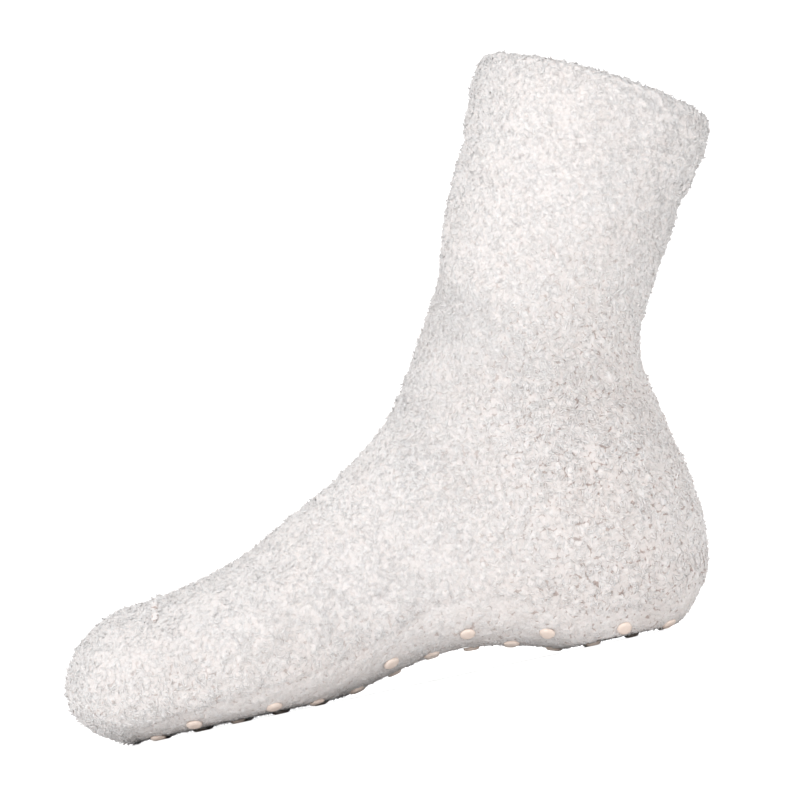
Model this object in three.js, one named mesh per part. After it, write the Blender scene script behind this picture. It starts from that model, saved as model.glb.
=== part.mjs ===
// A fluffy house sock in the shape of the right foot that filled it, standing empty on its grip dots.
// Millimetres, +Z up, the toe towards -X and the big-toe side towards -Y.
// The origin lies on the floor, under the grip dot in the middle of the heel.
import * as THREE from "three";

// Outside sizes of the foot
const footLength = 245; // back of the heel to the tip of the toe
const heelReach = 35.3; // middle of the heel to its back
const ballWidth = 96; // across the ball of the foot
const heelWidth = 68; // across the heel
const archHeight = 8; // sole above the floor under the arch
const instepHeight = 110; // floor to the bend in front of the ankle
const bendDepth = 97; // back of the heel to that bend
const toeHeight = 22; // floor to the tip of the toe
const toeRound = 32; // length over which the toe end rounds off
const toeSide = 9; // how far the tip lies towards the big toe

// Outside sizes of the leg
const ankleHeight = 106; // floor to the hollow behind the ankle
const ankleHollow = 8.5; // how far that hollow lies in front of the back of the heel
const ankleDepth = 80; // front to back at the ankle
const ankleWidth = 70; // side to side at the ankle
const legLength = 85; // ankle to collar, along the leg
const legLean = 27; // degrees that the leg leans back
const collarTilt = 29; // degrees that the collar tips back
const collarDepth = 88; // front to back at the collar
const collarWidth = 82; // side to side at the collar

// The knit
const wall = 3.4; // thickness with its pile
const pressStep = 1; // how much thinner the pressed sole is
const pressHeight = 26; // the measure for how high the pressed sole reaches up the sides
const pressToeGap = 22; // tip of the toe to the front edge of the pressed sole
const pressHeelHeight = 13.5; // floor to its edge behind the heel
const stepRun = 0.8; // width of the slope at a step in the wall
const cuffHeight = 27; // the double turned welt at the collar
const cuffStep = 0.8; // how far the welt stands out
const hemStep = 1.5; // how far its turned hem stands in

// The linked seam over the toes
const seamFromToe = 40; // tip of the toe to the seam
const seamWidth = 2.6;
const seamRise = 1.1; // top of the seam above the knit
const seamReach = 0.3; // share of the girth that the seam crosses, over the top

// The grip dots
const dotDiameter = 5.8;
const dotFlat = 2.8; // diameter of the flat tip
const dotRise = 1.2; // tip of a dot above the pressed sole
const dotPitch = 29.7; // from dot to dot along a row
const dotRowGap = 12.5; // from row to row, across the sole
const dotEdge = 6.6; // from a dot's middle to the nearest edge of the pressed sole, at least
const pieceGap = 0.3; // clearance between touching pieces

// Facets
const fieldFacets = 10; // across the pressed sole
const upperFacets = 22; // round the rest of a section
const ringSpacing = 9;
const toeRings = 6;
const rimRings = 4;
const seamFacets = 20;
const dotSides = 10;

// Sections of the foot, from the toe to the bend of the ankle. Shares: forward of the way from the
// bend to the tip of the toe, under of archHeight, over of instepHeight, inner and outer of half the
// ball width, widest of the section's own height, ridge of ballWidth, pressInner and pressOuter of
// pressHeight. square and dome say how boxy the lower and the upper half are, 2 being an ellipse.
const footRows = [
  { forward: 1, under: 0.1, over: 0.45, inner: 0.8, outer: 0.6,
    widest: 0.43, square: 2.3, dome: 2.2, ridge: 0, pressInner: 0.16, pressOuter: 0.16 },
  { forward: 0.86, under: -0.1, over: 0.456, inner: 0.9, outer: 0.76,
    widest: 0.41, square: 2.5, dome: 2.2, ridge: 0.02, pressInner: 0.2, pressOuter: 0.2 },
  { forward: 0.74, under: -0.28, over: 0.468, inner: 0.97, outer: 0.88,
    widest: 0.39, square: 2.7, dome: 2.15, ridge: 0.035, pressInner: 0.34, pressOuter: 0.34 },
  { forward: 0.62, under: -0.32, over: 0.495, inner: 1.01, outer: 0.96,
    widest: 0.37, square: 2.9, dome: 2.05, ridge: 0.05, pressInner: 0.42, pressOuter: 0.4 },
  { forward: 0.5, under: -0.32, over: 0.55, inner: 0.99, outer: 1.01,
    widest: 0.35, square: 3, dome: 1.95, ridge: 0.06, pressInner: 0.47, pressOuter: 0.42 },
  { forward: 0.38, under: -0.15, over: 0.623, inner: 0.91, outer: 0.99,
    widest: 0.34, square: 3, dome: 1.88, ridge: 0.07, pressInner: 0.5, pressOuter: 0.42 },
  { forward: 0.26, under: 0.3, over: 0.71, inner: 0.82, outer: 0.93,
    widest: 0.34, square: 2.9, dome: 1.85, ridge: 0.07, pressInner: 0.52, pressOuter: 0.41 },
  { forward: 0.16, under: 0.75, over: 0.8, inner: 0.76, outer: 0.87,
    widest: 0.35, square: 2.8, dome: 1.85, ridge: 0.06, pressInner: 0.56, pressOuter: 0.4 },
  { forward: 0.07, under: 1, over: 0.895, inner: 0.735, outer: 0.81,
    widest: 0.36, square: 2.7, dome: 1.9, ridge: 0.045, pressInner: 0.66, pressOuter: 0.42 },
];

// Sections that turn through the heel. Shares: back of the way from the last foot section to the
// back of the heel, arch of archHeight, rise of ankleHeight, front of the curve round the bend of
// the ankle, inner and outer of half the heel width. The others are as above.
const heelRows = [
  { back: 0.16, arch: 0.94, rise: 0, front: 0.16, inner: 1.03, outer: 1.1,
    widest: 0.36, square: 2.7, dome: 1.95, ridge: 0.03, pressInner: 0.74, pressOuter: 0.46 },
  { back: 0.34, arch: 0.4, rise: 0, front: 0.3, inner: 1.02, outer: 1.06,
    widest: 0.37, square: 2.7, dome: 1.95, ridge: 0.015, pressInner: 0.8, pressOuter: 0.52 },
  { back: 0.51, arch: -0.38, rise: 0, front: 0.42, inner: 1.02, outer: 1.03,
    widest: 0.38, square: 2.7, dome: 2, ridge: 0, pressInner: 0.78, pressOuter: 0.58 },
  { back: 0.67, arch: -0.5, rise: 0, front: 0.53, inner: 1.01, outer: 1.02,
    widest: 0.4, square: 2.65, dome: 2, ridge: 0, pressInner: 0.64, pressOuter: 0.56 },
  { back: 0.81, arch: -0.12, rise: 0, front: 0.62, inner: 1.01, outer: 1.01,
    widest: 0.42, square: 2.55, dome: 2, ridge: 0, pressInner: 0.44, pressOuter: 0.42 },
  { back: 0.92, arch: 0, rise: 0.07, front: 0.7, inner: 1.01, outer: 1.01,
    widest: 0.45, square: 2.4, dome: 2, ridge: 0, pressInner: 0.26, pressOuter: 0.26 },
  { back: 0.982, arch: 0, rise: 0.2, front: 0.77, inner: 1.02, outer: 1.02,
    widest: 0.48, square: 2.3, dome: 2, ridge: 0, pressInner: 0.22, pressOuter: 0.22 },
  { back: 1, arch: 0, rise: 0.37, front: 0.83, inner: 1.02, outer: 1.02,
    widest: 0.5, square: 2.2, dome: 2, ridge: 0, pressInner: 0.24, pressOuter: 0.24 },
  { back: 0.985, arch: 0, rise: 0.55, front: 0.89, inner: 1.03, outer: 1.03,
    widest: 0.5, square: 2.1, dome: 2, ridge: 0, pressInner: 0.28, pressOuter: 0.28 },
  { back: 0.945, arch: 0, rise: 0.74, front: 0.94, inner: 1.03, outer: 1.03,
    widest: 0.5, square: 2.04, dome: 2, ridge: 0, pressInner: 0.31, pressOuter: 0.31 },
];

// Sections of the leg. Shares: rise of legLength, lean of the way that the leg leans back in all,
// growth of the way from the ankle's depth and width to the collar's.
const legRows = [
  { rise: 0, lean: 0, growth: 0 },
  { rise: 0.25, lean: 0.2, growth: 0.16 },
  { rise: 0.5, lean: 0.45, growth: 0.46 },
  { rise: 0.75, lean: 0.72, growth: 0.78 },
  { rise: 1, lean: 1, growth: 1 },
];
const legShape = { widest: 0.5, square: 2, dome: 2, ridge: 0, pressInner: 0.32, pressOuter: 0.32 };

const degree = Math.PI / 180;
const bendX = heelReach - bendDepth;
const toeX = heelReach - footLength;

function mix(from, to, share) {
  return from + (to - from) * share;
}

// The middle of the leg, and its front and back, at a share of the way up
function legSection(row) {
  const depth = mix(ankleDepth, collarDepth, row.growth);
  const halfWidth = mix(ankleWidth, collarWidth, row.growth) / 2;
  const tiltX = Math.cos(collarTilt * degree);
  const tiltZ = Math.sin(collarTilt * degree);
  const ankleX = heelReach - ankleHollow - (ankleDepth / 2) * tiltX;
  const ankleZ = ankleHeight + (ankleDepth / 2) * tiltZ;
  const middleX = ankleX + legLength * Math.sin(legLean * degree) * row.lean;
  const middleZ = ankleZ + legLength * Math.cos(legLean * degree) * row.rise;
  return {
    ...legShape,
    underX: middleX + (depth / 2) * tiltX,
    underZ: middleZ - (depth / 2) * tiltZ,
    overX: middleX - (depth / 2) * tiltX,
    overZ: middleZ + (depth / 2) * tiltZ,
    inner: halfWidth,
    outer: halfWidth,
  };
}

function footSection(row) {
  const x = mix(bendX, toeX, row.forward);
  return {
    ...row,
    underX: x,
    underZ: archHeight * row.under,
    overX: x,
    overZ: instepHeight * row.over,
    inner: (ballWidth / 2) * row.inner,
    outer: (ballWidth / 2) * row.outer,
  };
}

const ankle = legSection(legRows[0]);
const instep = footSection(footRows[footRows.length - 1]);

// The front of a heel section lies on a curve from the instep, round the bend, to the ankle.
function heelSection(row) {
  const fromInstep = (1 - row.front) ** 2;
  const fromBend = 2 * row.front * (1 - row.front);
  const fromAnkle = row.front ** 2;
  return {
    ...row,
    underX: mix(instep.underX, heelReach, row.back),
    underZ: archHeight * row.arch + ankleHeight * row.rise,
    overX: instep.overX * fromInstep + bendX * fromBend + ankle.overX * fromAnkle,
    overZ: instep.overZ * fromInstep + instepHeight * fromBend + ankle.overZ * fromAnkle,
    inner: (heelWidth / 2) * row.inner,
    outer: (heelWidth / 2) * row.outer,
  };
}

const sections = [
  ...footRows.map(footSection),
  ...heelRows.map(heelSection),
  ...legRows.map(legSection),
];

// A place on the sock is a distance along it, from the toe to the collar.
const sectionAt = [0];
for (let i = 1; i < sections.length; i++) {
  const last = sections[i - 1];
  const here = sections[i];
  const below = Math.hypot(here.underX - last.underX, here.underZ - last.underZ);
  const above = Math.hypot(here.overX - last.overX, here.overZ - last.overZ);
  sectionAt.push(sectionAt[i - 1] + Math.max(below, above));
}
const collarAt = sectionAt[sectionAt.length - 1];

const sectionSizes = [
  "underX", "underZ", "overX", "overZ", "inner", "outer",
  "widest", "square", "dome", "ridge", "pressInner", "pressOuter",
];

// Sizes between two sections follow a smooth curve through the neighbours.
function sectionBetween(along) {
  let i = 0;
  while (i < sections.length - 2 && sectionAt[i + 1] < along) {
    i++;
  }
  const span = sectionAt[i + 1] - sectionAt[i];
  const t = (along - sectionAt[i]) / span;
  const section = {};
  for (const size of sectionSizes) {
    const from = sections[i][size];
    const to = sections[i + 1][size];
    const slope = (to - from) / span;
    let leave = slope;
    let arrive = slope;
    if (i > 0) {
      leave = (to - sections[i - 1][size]) / (sectionAt[i + 1] - sectionAt[i - 1]);
    }
    if (i < sections.length - 2) {
      arrive = (sections[i + 2][size] - from) / (sectionAt[i + 2] - sectionAt[i]);
    }
    const bend0 = leave * span;
    const bend1 = arrive * span;
    const gain = to - from;
    section[size] =
      from + bend0 * t + (3 * gain - 2 * bend0 - bend1) * t ** 2 + (bend0 + bend1 - 2 * gain) * t ** 3;
  }
  return section;
}

// A section's outline starts at the top, runs down the outer side and comes up the inner side. Each
// half is a curve between an ellipse and a box: |side|^n + |height|^n = 1.
const outlineSteps = 200;

function outlinePoint(section, turn) {
  const height = Math.hypot(section.overX - section.underX, section.overZ - section.underZ);
  const lower = height * section.widest;
  const upper = height - lower;
  const isUpper = Math.abs(turn) > Math.PI / 2;
  const power = 2 / (isUpper ? section.dome : section.square);
  const sideShare = Math.abs(Math.sin(turn)) ** power;
  const heightShare = Math.abs(Math.cos(turn)) ** power;
  const climb = isUpper ? lower + upper * heightShare : lower * (1 - heightShare);
  const halfWidth = turn < 0 ? section.outer : -section.inner;
  const lean = isUpper ? section.ridge * ballWidth * heightShare : 0;
  return { side: halfWidth * sideShare - lean, climb, height };
}

function outlineOf(section) {
  const points = [];
  const reach = [0];
  for (let i = 0; i <= outlineSteps; i++) {
    const turn = Math.PI * (2 * (i / outlineSteps) - 1);
    points.push(outlinePoint(section, turn));
    if (i > 0) {
      const last = points[i - 1];
      const here = points[i];
      reach.push(reach[i - 1] + Math.hypot(here.side - last.side, here.climb - last.climb));
    }
  }
  return { points, reach };
}

// The distance round the outline at which it leaves or enters the pressed sole
function edgeReach(outline, section, isInner) {
  const edge = pressHeight * (isInner ? section.pressInner : section.pressOuter);
  const step = isInner ? 1 : -1;
  let i = outlineSteps / 2;
  while (outline.points[i + step].climb < edge) {
    i += step;
  }
  const from = outline.points[i].climb;
  const to = outline.points[i + step].climb;
  return mix(outline.reach[i], outline.reach[i + step], (edge - from) / (to - from));
}

function atReach(outline, distance) {
  const girth = outline.reach[outlineSteps];
  const place = ((distance % girth) + girth) % girth;
  let i = 0;
  while (i < outlineSteps - 1 && outline.reach[i + 1] < place) {
    i++;
  }
  const share = (place - outline.reach[i]) / (outline.reach[i + 1] - outline.reach[i]);
  const from = outline.points[i];
  const to = outline.points[i + 1];
  return {
    side: mix(from.side, to.side, share),
    climb: mix(from.climb, to.climb, share),
    height: from.height,
  };
}

// The weight of a foot has pressed the sole flat where it stands: a plane with a soft edge.
const soleSoft = 0.8;
const soleLevel = dotRise - pressStep;

function pressFlat(z) {
  const over = z - soleLevel;
  if (over <= -soleSoft) {
    return soleLevel;
  }
  if (over >= soleSoft) {
    return z;
  }
  return soleLevel + (over + soleSoft) ** 2 / (4 * soleSoft);
}

// The smooth surface of the knit before its steps. The toe end closes like a ball.
function knitPoint(section, along, place) {
  const share = place.climb / place.height;
  let x = mix(section.underX, section.overX, share);
  let y = place.side;
  let z = mix(section.underZ, section.overZ, share);
  if (along < toeRound) {
    const size = Math.sqrt(1 - (1 - along / toeRound) ** 2);
    y = mix(-toeSide, y, size);
    z = mix(toeHeight, z, size);
  }
  return new THREE.Vector3(x, y, pressFlat(z));
}

// Columns of points round one section: the pressed sole first, from the outer edge to the inner,
// then the rest over the top. The slope of the step lies between them.
function columnReaches(outline, section) {
  const girth = outline.reach[outlineSteps];
  const outer = edgeReach(outline, section, false);
  const inner = edgeReach(outline, section, true);
  const reaches = [];
  for (let i = 0; i <= fieldFacets; i++) {
    reaches.push(mix(outer, inner, i / fieldFacets));
  }
  for (let i = 0; i <= upperFacets; i++) {
    reaches.push(mix(inner + stepRun, girth + outer - stepRun, i / upperFacets));
  }
  return reaches;
}
const columns = fieldFacets + upperFacets + 2;

function spread(from, to) {
  const count = Math.max(1, Math.ceil((to - from) / ringSpacing));
  const places = [];
  for (let i = 1; i <= count; i++) {
    places.push(mix(from, to, i / count));
  }
  return places;
}

// The place on the lower line where a size of the section first passes a value
function alongWhere(size, value, from, to) {
  let low = from;
  let high = to;
  for (let i = 0; i < 40; i++) {
    const middle = (low + high) / 2;
    if (sectionBetween(middle)[size] < value) {
      low = middle;
    } else {
      high = middle;
    }
  }
  return low;
}

const underHeel = sectionAt[footRows.length + 4];
const underBack = sectionAt[footRows.length + 7];
const atAnkle = sectionAt[footRows.length + heelRows.length];
const pressToe = pressToeGap;
const pressHeel = alongWhere("underZ", pressHeelHeight, underHeel, atAnkle);
const cuffFoot = collarAt - cuffHeight;

// Rings of points along the sock, closer at the toe and at the steps
const capEnd = Math.min(toeRound, pressToe - stepRun);
const capAngle = Math.asin(1 - capEnd / toeRound);
const ringPlaces = [];
for (let i = toeRings - 1; i >= 0; i--) {
  ringPlaces.push(toeRound * (1 - Math.sin(mix(capAngle, Math.PI / 2, i / toeRings))));
}
if (pressToe - stepRun > capEnd) {
  ringPlaces.push(...spread(capEnd, pressToe - stepRun));
}
ringPlaces.push(pressToe, ...spread(pressToe, pressHeel));
ringPlaces.push(pressHeel + stepRun, ...spread(pressHeel + stepRun, cuffFoot));
ringPlaces.push(cuffFoot + stepRun, ...spread(cuffFoot + stepRun, collarAt));

const rings = ringPlaces.map((along) => {
  const section = sectionBetween(along);
  const outline = outlineOf(section);
  const points = columnReaches(outline, section).map((reach) =>
    knitPoint(section, along, atReach(outline, reach)),
  );
  return { along, points };
});
const toeTip = new THREE.Vector3(toeX, -toeSide, toeHeight);

// Outward direction of the knit at a ring and column, square to its neighbours
function outwardAt(ring, column) {
  const before = ring > 0 ? rings[ring - 1].points[column] : toeTip;
  const after = rings[Math.min(ring + 1, rings.length - 1)].points[column];
  const here = rings[ring].points;
  const left = here[(column + columns - 1) % columns];
  const right = here[(column + 1) % columns];
  const forward = after.clone().sub(before);
  const round = right.clone().sub(left);
  return forward.cross(round).normalize();
}

function isPressed(along, column) {
  return column <= fieldFacets && along >= pressToe && along <= pressHeel;
}

// The two faces of the knit: the outside, in by the step of the pressed sole and out by the cuff's,
// and the inside, a wall deeper, with the hem turned in under the cuff.
const outside = rings.map((ring, i) =>
  ring.points.map((point, column) => {
    let lift = 0;
    if (isPressed(ring.along, column)) {
      lift = -pressStep;
    }
    if (ring.along > cuffFoot) {
      lift = cuffStep;
    }
    return point.clone().addScaledVector(outwardAt(i, column), lift);
  }),
);
const inside = rings.map((ring, i) =>
  ring.points.map((point, column) => {
    const depth = ring.along > cuffFoot ? wall + hemStep : wall;
    return point.clone().addScaledVector(outwardAt(i, column), -depth);
  }),
);

// The rim turns over from the outside to the inside in half a circle.
const upAtCollar = new THREE.Vector3(Math.sin(collarTilt * degree), 0, Math.cos(collarTilt * degree));
const rim = [];
for (let i = 1; i < rimRings; i++) {
  const turn = (Math.PI * i) / rimRings;
  rim.push(
    outside[rings.length - 1].map((outer, column) => {
      const inner = inside[rings.length - 1][column];
      const radius = outer.distanceTo(inner) / 2;
      const share = (1 - Math.cos(turn)) / 2;
      return outer.clone().lerp(inner, share).addScaledVector(upAtCollar, radius * Math.sin(turn));
    }),
  );
}

// A closed skin over rings of points, from one pole to the other
function skin(firstPole, loops, lastPole) {
  const points = [firstPole, ...loops.flat(), lastPole];
  const around = loops[0].length;
  const faces = [];
  for (let i = 0; i < around; i++) {
    const next = (i + 1) % around;
    faces.push(0, 1 + i, 1 + next);
    for (let j = 0; j < loops.length - 1; j++) {
      const low = 1 + j * around;
      const high = low + around;
      faces.push(low + i, high + i, high + next, low + i, high + next, low + next);
    }
    const top = 1 + (loops.length - 1) * around;
    faces.push(points.length - 1, top + next, top + i);
  }
  const geometry = new THREE.BufferGeometry();
  geometry.setAttribute("position", new THREE.Float32BufferAttribute(points.flatMap((p) => p.toArray()), 3));
  geometry.setIndex(faces);
  geometry.computeVertexNormals();
  return geometry;
}

const chenille = new THREE.MeshStandardMaterial({ color: 0xebe6e2, roughness: 1, metalness: 0 });
const linkedYarn = new THREE.MeshStandardMaterial({ color: 0xe4deda, roughness: 1, metalness: 0 });
const softRubber = new THREE.MeshStandardMaterial({ color: 0xecdacd, roughness: 0.45, metalness: 0 });

const insideTip = toeTip.clone().add(new THREE.Vector3(wall, 0, 0));
const knitLoops = [...outside, ...rim, ...inside.reverse()];
const sock = new THREE.Mesh(skin(toeTip, knitLoops, insideTip), chenille);
sock.name = "sock_body";

// A point on the facets of the knit, found along the outward direction of the smooth surface
const caster = new THREE.Raycaster();
const castFrom = 12;

function smoothPoint(along, reachFromBottom) {
  const section = sectionBetween(along);
  const outline = outlineOf(section);
  const middle = outline.reach[outlineSteps / 2];
  return knitPoint(section, along, atReach(outline, middle + reachFromBottom));
}

function girthAt(along) {
  return outlineOf(sectionBetween(along)).reach[outlineSteps];
}

function outwardOf(along, reachFromBottom) {
  const nudge = 1.5;
  const forward = smoothPoint(along + nudge, reachFromBottom).sub(smoothPoint(along - nudge, reachFromBottom));
  const round = smoothPoint(along, reachFromBottom + nudge).sub(smoothPoint(along, reachFromBottom - nudge));
  return forward.cross(round).normalize();
}

function onKnit(point, outward) {
  const start = point.clone().addScaledVector(outward, castFrom);
  caster.set(start, outward.clone().negate());
  return caster.intersectObject(sock)[0].point;
}

// The toe seam: a low round bead across the top of the toes, thinner at its ends
const seamProfile = [
  { across: 1, lift: 0 },
  { across: 0.75, lift: 0.7 },
  { across: 0, lift: 1 },
  { across: -0.75, lift: 0.7 },
  { across: -1, lift: 0 },
  { across: 0, lift: 0 },
];
const seamEndSize = 0.45;
const seamTaper = 0.12; // share of the seam over which each end thins out
const seamGirth = girthAt(seamFromToe);

function seamLoop(share) {
  const fromEnd = Math.min(share, 1 - share) / seamTaper;
  const size = mix(seamEndSize, 1, Math.min(1, fromEnd));
  const reach = seamGirth * (0.5 + seamReach * (share - 0.5));
  return seamProfile.map((corner) => {
    const along = seamFromToe + (seamWidth / 2) * corner.across * size;
    const outward = outwardOf(along, reach);
    const lift = mix(pieceGap, seamRise * size, corner.lift);
    return onKnit(smoothPoint(along, reach), outward).addScaledVector(outward, lift);
  });
}

function middleOf(points) {
  const sum = points.reduce((total, point) => total.add(point), new THREE.Vector3());
  return sum.divideScalar(points.length);
}

const seamLoops = [];
for (let i = 0; i <= seamFacets; i++) {
  seamLoops.push(seamLoop(i / seamFacets));
}
const seamSkin = skin(middleOf(seamLoops[0]), seamLoops, middleOf(seamLoops[seamFacets]));
const seam = new THREE.Mesh(seamSkin, linkedYarn);
seam.name = "toe_seam";

// A grip dot is a low dome with a flat tip, whose back follows the knit. Shares: radius of half the
// dot's diameter, rise of the way from its back to its tip.
const dotProfile = [
  { radius: 1, rise: 0 },
  { radius: 0.88, rise: 0.6 },
];

function dotSkin(along, reach) {
  const outward = outwardOf(along, reach);
  const smooth = smoothPoint(along, reach);
  const middle = onKnit(smooth, outward);
  const tip = middle.clone().addScaledVector(outward, dotRise);
  const right = new THREE.Vector3(1, 0, 0).cross(outward).normalize();
  const front = right.clone().cross(outward);
  const directions = [];
  for (let i = 0; i < dotSides; i++) {
    const turn = (2 * Math.PI * i) / dotSides;
    directions.push(
      right.clone().multiplyScalar(Math.cos(turn)).addScaledVector(front, Math.sin(turn)),
    );
  }
  const backAt = (radius) =>
    directions.map((direction) => {
      const place = smooth.clone().addScaledVector(direction, radius);
      return onKnit(place, outward).addScaledVector(outward, pieceGap);
    });
  const back = backAt(dotDiameter / 2);
  const loops = dotProfile.map((row) =>
    directions.map((direction, i) => {
      const aside = (dotDiameter / 2) * row.radius;
      const over = tip.clone().addScaledVector(direction, aside);
      const under = back[i].clone().addScaledVector(direction, aside - dotDiameter / 2);
      return under.lerp(over, row.rise);
    }),
  );
  loops.unshift(backAt(dotDiameter / 4));
  loops.push(directions.map((direction) => tip.clone().addScaledVector(direction, dotFlat / 2)));
  const foot = middle.addScaledVector(outward, pieceGap);
  const geometry = skin(foot, loops, tip);
  const places = geometry.getAttribute("position");
  for (let i = 0; i < places.count; i++) {
    places.setZ(i, Math.max(0, places.getZ(i)));
  }
  return geometry;
}

// Rows of dots run along the sole, each row half a pitch off the next, from the one under the heel.
// Room from a place to the nearest edge of the pressed sole
function roomAt(along, reachFromBottom) {
  const section = sectionBetween(along);
  const outline = outlineOf(section);
  const reach = outline.reach[outlineSteps / 2] + reachFromBottom;
  const toOuter = reach - edgeReach(outline, section, false);
  const toInner = edgeReach(outline, section, true) - reach;
  return Math.min(toOuter, toInner, along - pressToe, pressHeel - along);
}

const dots = [];
const rowsEachSide = Math.ceil(ballWidth / 2 / dotRowGap);
for (let row = -rowsEachSide; row <= rowsEachSide; row++) {
  const reach = row * dotRowGap;
  const shift = row % 2 === 0 ? 0 : dotPitch / 2;
  const ahead = Math.floor((shift - toeX) / dotPitch);
  for (let x = shift - ahead * dotPitch; x < heelReach; x += dotPitch) {
    const along = alongWhere("underX", x, 0, underBack);
    if (roomAt(along, reach) >= dotEdge) {
      const dot = new THREE.Mesh(dotSkin(along, reach), softRubber.clone());
      dot.name = `grip_dot_${String(dots.length + 1).padStart(2, "0")}`;
      dots.push(dot);
    }
  }
}

const group = new THREE.Group();
group.add(sock, seam, ...dots);

export default group;
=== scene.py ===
import math

import bpy
import numpy as np
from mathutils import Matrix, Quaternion, Vector


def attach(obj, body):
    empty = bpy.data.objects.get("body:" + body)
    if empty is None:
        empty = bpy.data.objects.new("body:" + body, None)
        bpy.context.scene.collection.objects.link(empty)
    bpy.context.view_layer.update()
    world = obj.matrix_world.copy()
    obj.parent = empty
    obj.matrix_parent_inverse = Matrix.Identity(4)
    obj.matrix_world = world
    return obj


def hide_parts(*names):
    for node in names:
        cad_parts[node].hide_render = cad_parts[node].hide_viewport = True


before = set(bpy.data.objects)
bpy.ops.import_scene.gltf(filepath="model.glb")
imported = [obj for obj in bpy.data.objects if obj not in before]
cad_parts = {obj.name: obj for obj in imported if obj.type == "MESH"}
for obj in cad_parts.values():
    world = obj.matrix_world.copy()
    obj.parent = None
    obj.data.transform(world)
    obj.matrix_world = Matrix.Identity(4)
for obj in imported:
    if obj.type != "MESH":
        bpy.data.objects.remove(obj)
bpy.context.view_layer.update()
print("frame loaded,", len(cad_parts), "nodes")

# All shapes are worked out in millimetres and go into their meshes in metres.
millimetre = 0.001

# Outside sizes of the knit, as in the solids
foot = {
    "length": 245,
    "heelReach": 35.3,
    "ballWidth": 96,
    "heelWidth": 68,
    "archHeight": 8,
    "instepHeight": 110,
    "bendDepth": 97,
    "toeHeight": 22,
    "toeRound": 32,
    "toeSide": 9,
}
leg = {
    "ankleHeight": 106,
    "ankleHollow": 8.5,
    "ankleDepth": 80,
    "ankleWidth": 70,
    "length": 85,
    "lean": math.radians(27),
    "collarTilt": math.radians(29),
    "collarDepth": 88,
    "collarWidth": 82,
}
knit = {
    "wall": 3.4,
    "pressStep": 1,
    "pressHeight": 26,
    "pressToeGap": 22,
    "pressHeelHeight": 13.5,
    "pressSlope": 2.2,  # width of the slope at the pressed sole's edge
    "cuffHeight": 27,
    "cuffStep": 0.8,
    "cuffSlope": 2.4,
    "rollOut": 1.2,
    "drawIn": 0.7,
    "hemStep": 1.5,
    "soleLevel": 0.2,
    "soleSoft": 0.8,
}

# Sections of the foot: forward of the way from the bend to the toe tip, under of the arch height,
# over of the instep height, inner and outer of half the ball width, then the outline's own shares.
footColumns = "forward under over inner outer widest square dome ridge pressInner pressOuter".split()
footRows = np.array([
    [1, 0.1, 0.45, 0.8, 0.6, 0.43, 2.3, 2.2, 0, 0.16, 0.16],
    [0.86, -0.1, 0.456, 0.9, 0.76, 0.41, 2.5, 2.2, 0.02, 0.2, 0.2],
    [0.74, -0.28, 0.468, 0.97, 0.88, 0.39, 2.7, 2.15, 0.035, 0.34, 0.34],
    [0.62, -0.32, 0.495, 1.01, 0.96, 0.37, 2.9, 2.05, 0.05, 0.42, 0.4],
    [0.5, -0.32, 0.55, 0.99, 1.01, 0.35, 3, 1.95, 0.06, 0.47, 0.42],
    [0.38, -0.15, 0.623, 0.91, 0.99, 0.34, 3, 1.88, 0.07, 0.5, 0.42],
    [0.26, 0.3, 0.71, 0.82, 0.93, 0.34, 2.9, 1.85, 0.07, 0.52, 0.41],
    [0.16, 0.75, 0.8, 0.76, 0.87, 0.35, 2.8, 1.85, 0.06, 0.56, 0.4],
    [0.07, 1, 0.895, 0.735, 0.81, 0.36, 2.7, 1.9, 0.045, 0.66, 0.42],
])
# Sections through the heel: back of the way from the last foot section to the back of the heel, arch
# of the arch height, rise of the ankle height, front of the curve round the bend of the ankle.
heelColumns = "back arch rise front inner outer widest square dome ridge pressInner pressOuter".split()
heelRows = np.array([
    [0.16, 0.94, 0, 0.16, 1.03, 1.1, 0.36, 2.7, 1.95, 0.03, 0.74, 0.46],
    [0.34, 0.4, 0, 0.3, 1.02, 1.06, 0.37, 2.7, 1.95, 0.015, 0.8, 0.52],
    [0.51, -0.38, 0, 0.42, 1.02, 1.03, 0.38, 2.7, 2, 0, 0.78, 0.58],
    [0.67, -0.5, 0, 0.53, 1.01, 1.02, 0.4, 2.65, 2, 0, 0.64, 0.56],
    [0.81, -0.12, 0, 0.62, 1.01, 1.01, 0.42, 2.55, 2, 0, 0.44, 0.42],
    [0.92, 0, 0.07, 0.7, 1.01, 1.01, 0.45, 2.4, 2, 0, 0.26, 0.26],
    [0.982, 0, 0.2, 0.77, 1.02, 1.02, 0.48, 2.3, 2, 0, 0.22, 0.22],
    [1, 0, 0.37, 0.83, 1.02, 1.02, 0.5, 2.2, 2, 0, 0.24, 0.24],
    [0.985, 0, 0.55, 0.89, 1.03, 1.03, 0.5, 2.1, 2, 0, 0.28, 0.28],
    [0.945, 0, 0.74, 0.94, 1.03, 1.03, 0.5, 2.04, 2, 0, 0.31, 0.31],
])
# Sections of the leg: rise of its length, lean of the way it leans back, growth from ankle to collar
legColumns = "rise lean growth".split()
legRows = np.array([
    [0, 0, 0],
    [0.25, 0.2, 0.16],
    [0.5, 0.45, 0.46],
    [0.75, 0.72, 0.78],
    [1, 1, 1],
])
outlineColumns = ["widest", "square", "dome", "ridge", "pressInner", "pressOuter"]
sizeColumns = ["underX", "underZ", "overX", "overZ", "inner", "outer", *outlineColumns]


def mix(a, b, share):
    return a + (b - a) * share


def smooth(low, high, value):
    # 0 below low, 1 above high, and 3t^2 - 2t^3 between
    t = np.clip((value - low) / (high - low), 0, 1)
    return t * t * (3 - 2 * t)


def unit(vectors):
    return vectors / np.maximum(np.linalg.norm(vectors, axis=-1, keepdims=True), 1e-9)


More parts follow.
